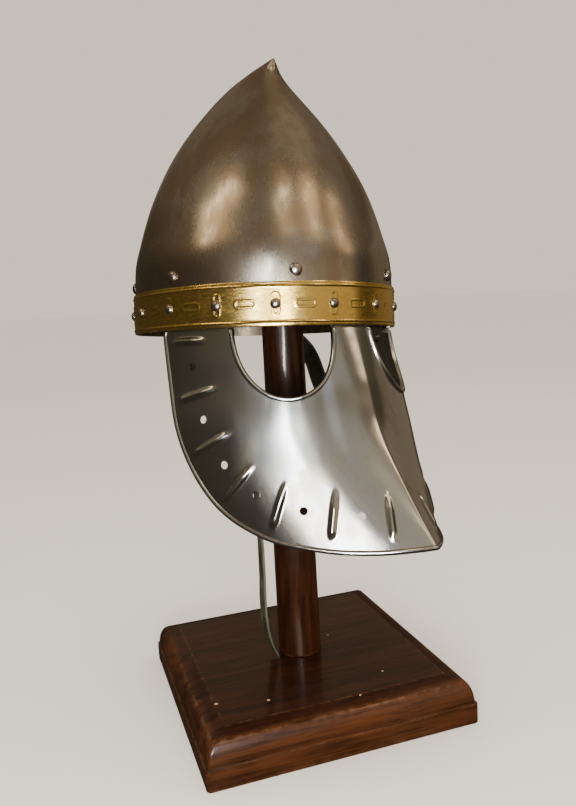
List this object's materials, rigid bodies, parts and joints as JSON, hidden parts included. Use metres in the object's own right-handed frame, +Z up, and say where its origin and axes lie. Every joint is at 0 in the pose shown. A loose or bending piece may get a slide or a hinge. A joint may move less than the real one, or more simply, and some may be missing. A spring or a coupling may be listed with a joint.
{
  "type": "spectacle guard helmet on wooden stand",
  "caption": "Pointed steel helmet with a riveted brass band and a fluted spectacle face guard, hung on a dark wooden post with a moulded square base.",
  "frame": {"origin": "centre of the wooden base's underside", "axes": "+Z up along the post, the helmet faces -Y and the wearer's left is +X; the base is turned about Z by about -21 degrees"},
  "size_m": [0.294, 0.3315, 0.5519],
  "materials": {
    "skull_steel": "polished steel with a warm brown tarnish and faint upright streaks",
    "guard_steel": "bright polished steel, lightly scuffed",
    "brass": "polished embossed brass, slightly toned in its hollows",
    "rivet_steel": "dull polished steel",
    "leather": "plain leather strap, dark grey-green",
    "mahogany": "dark red-brown mahogany under gloss varnish, with small pale dings"
  },
  "bodies": {
    "root": {"base": "mahogany", "post": "mahogany", "skull": "skull_steel", "brass_band": "brass", "face_guard": "guard_steel", "chin_strap_left": "leather", "chin_strap_right": "leather", "strap_buckle": "rivet_steel", "band_rivet_01": "rivet_steel", "band_rivet_02": "rivet_steel", "band_rivet_03": "rivet_steel", "band_rivet_04": "rivet_steel", "band_rivet_05": "rivet_steel", "band_rivet_06": "rivet_steel", "band_rivet_07": "rivet_steel", "band_rivet_08": "rivet_steel", "band_rivet_09": "rivet_steel", "band_rivet_10": "rivet_steel", "band_rivet_11": "rivet_steel", "band_rivet_12": "rivet_steel", "band_rivet_13": "rivet_steel", "band_rivet_14": "rivet_steel", "band_rivet_15": "rivet_steel", "band_rivet_16": "rivet_steel", "liner_rivet_01": "rivet_steel", "liner_rivet_02": "rivet_steel", "liner_rivet_03": "rivet_steel", "liner_rivet_04": "rivet_steel", "liner_rivet_05": "rivet_steel", "liner_rivet_06": "rivet_steel", "liner_rivet_07": "rivet_steel"}
  },
  "joints": []
}
